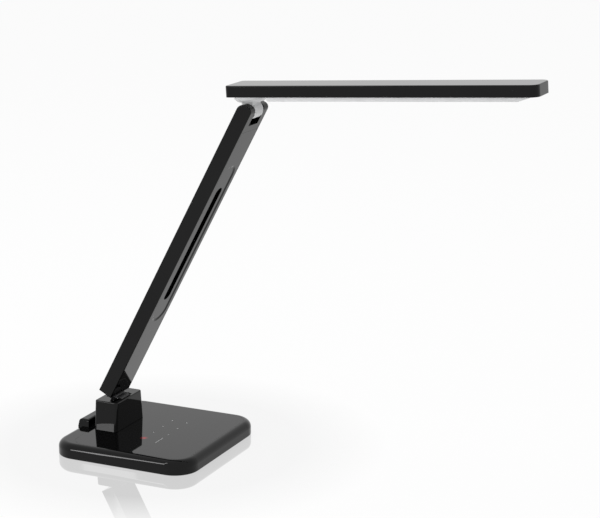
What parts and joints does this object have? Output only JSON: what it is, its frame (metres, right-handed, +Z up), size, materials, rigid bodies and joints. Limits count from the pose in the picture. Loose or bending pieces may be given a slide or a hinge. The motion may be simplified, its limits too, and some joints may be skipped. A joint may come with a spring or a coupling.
{
  "type": "folding desk lamp",
  "caption": "Folding LED desk lamp: rounded square touch base, swivelling block, flat arm with a groove, and a long thin head on a turntable in the arm's fork.",
  "frame": {"origin": "centre of the base's underside, on the table", "axes": "+Z up, -Y the front, where the user sits and the head points, +X the user's right"},
  "size_m": [0.182, 0.5443, 0.452],
  "materials": {
    "gloss_black": "piano gloss",
    "panel_black": "piano gloss, flat",
    "cover_black": "fine texture",
    "pad_black": "matte",
    "steel": "zinc plated",
    "hinge_black": "black coated steel",
    "brass_pin": "plated",
    "silver_grey": "satin silver-grey",
    "light_white": "translucent satin",
    "board_green": "solder mask",
    "reflector_white": "matte",
    "spreader_aluminium": "rolled",
    "cable_black": "matte"
  },
  "bodies": {
    "base": {"base_shell": "gloss_black", "touch_panel": "panel_black", "bottom_cover": "cover_black", "foot_pad": "pad_black", "ballast_plate": "steel", "control_board": "board_green", "indicator_lights": "light_white", "base_screws": "steel", "port_housing": "gloss_black", "dc_jack": "cover_black", "dc_pin": "brass_pin", "swivel_bush": "cover_black"},
    "turret": {"turret_block": "gloss_black", "swivel_post": "steel", "swivel_washer": "steel", "swivel_nut": "steel", "arm_pivot_pin": "steel", "pivot_cap": "cover_black"},
    "arm": {"arm_shell": "gloss_black", "arm_cover": "gloss_black", "arm_spine": "steel", "arm_hinge": "hinge_black", "hinge_washers": "steel", "arm_cable": "cable_black", "arm_screws": "steel", "tilt_pin": "steel", "tilt_washers": "steel"},
    "knuckle": {"tilt_knuckle": "silver_grey", "head_washer": "steel", "head_clip": "steel"},
    "head": {"head_shell": "gloss_black", "swivel_plate": "silver_grey", "diffuser": "light_white", "reflector_frame": "reflector_white", "led_board": "board_green", "leds": "reflector_white", "heat_spreader": "spreader_aluminium", "head_screws": "steel"}
  },
  "joints": [
    {"name": "base_swivel", "type": "hinge", "parent": "base", "child": "turret", "pos_m": [0, 0.0498, 0.0178], "axis": [0, 0, 1], "range_deg": [-20, 20]},
    {"name": "arm_tilt", "type": "hinge", "parent": "turret", "child": "arm", "pos_m": [0, 0.04525, 0.0465], "axis": [1, 0, 0], "range_deg": [-27.5, 62]},
    {"name": "head_tilt", "type": "hinge", "parent": "arm", "child": "knuckle", "pos_m": [0, -0.12655, 0.40082], "axis": [1, 0, 0], "range_deg": [-58, 120]},
    {"name": "head_swivel", "type": "hinge", "parent": "knuckle", "child": "head", "pos_m": [0, -0.12655, 0.40082], "axis": [0, 0.0663, 0.9978], "range_deg": [-90, 90]}
  ]
}
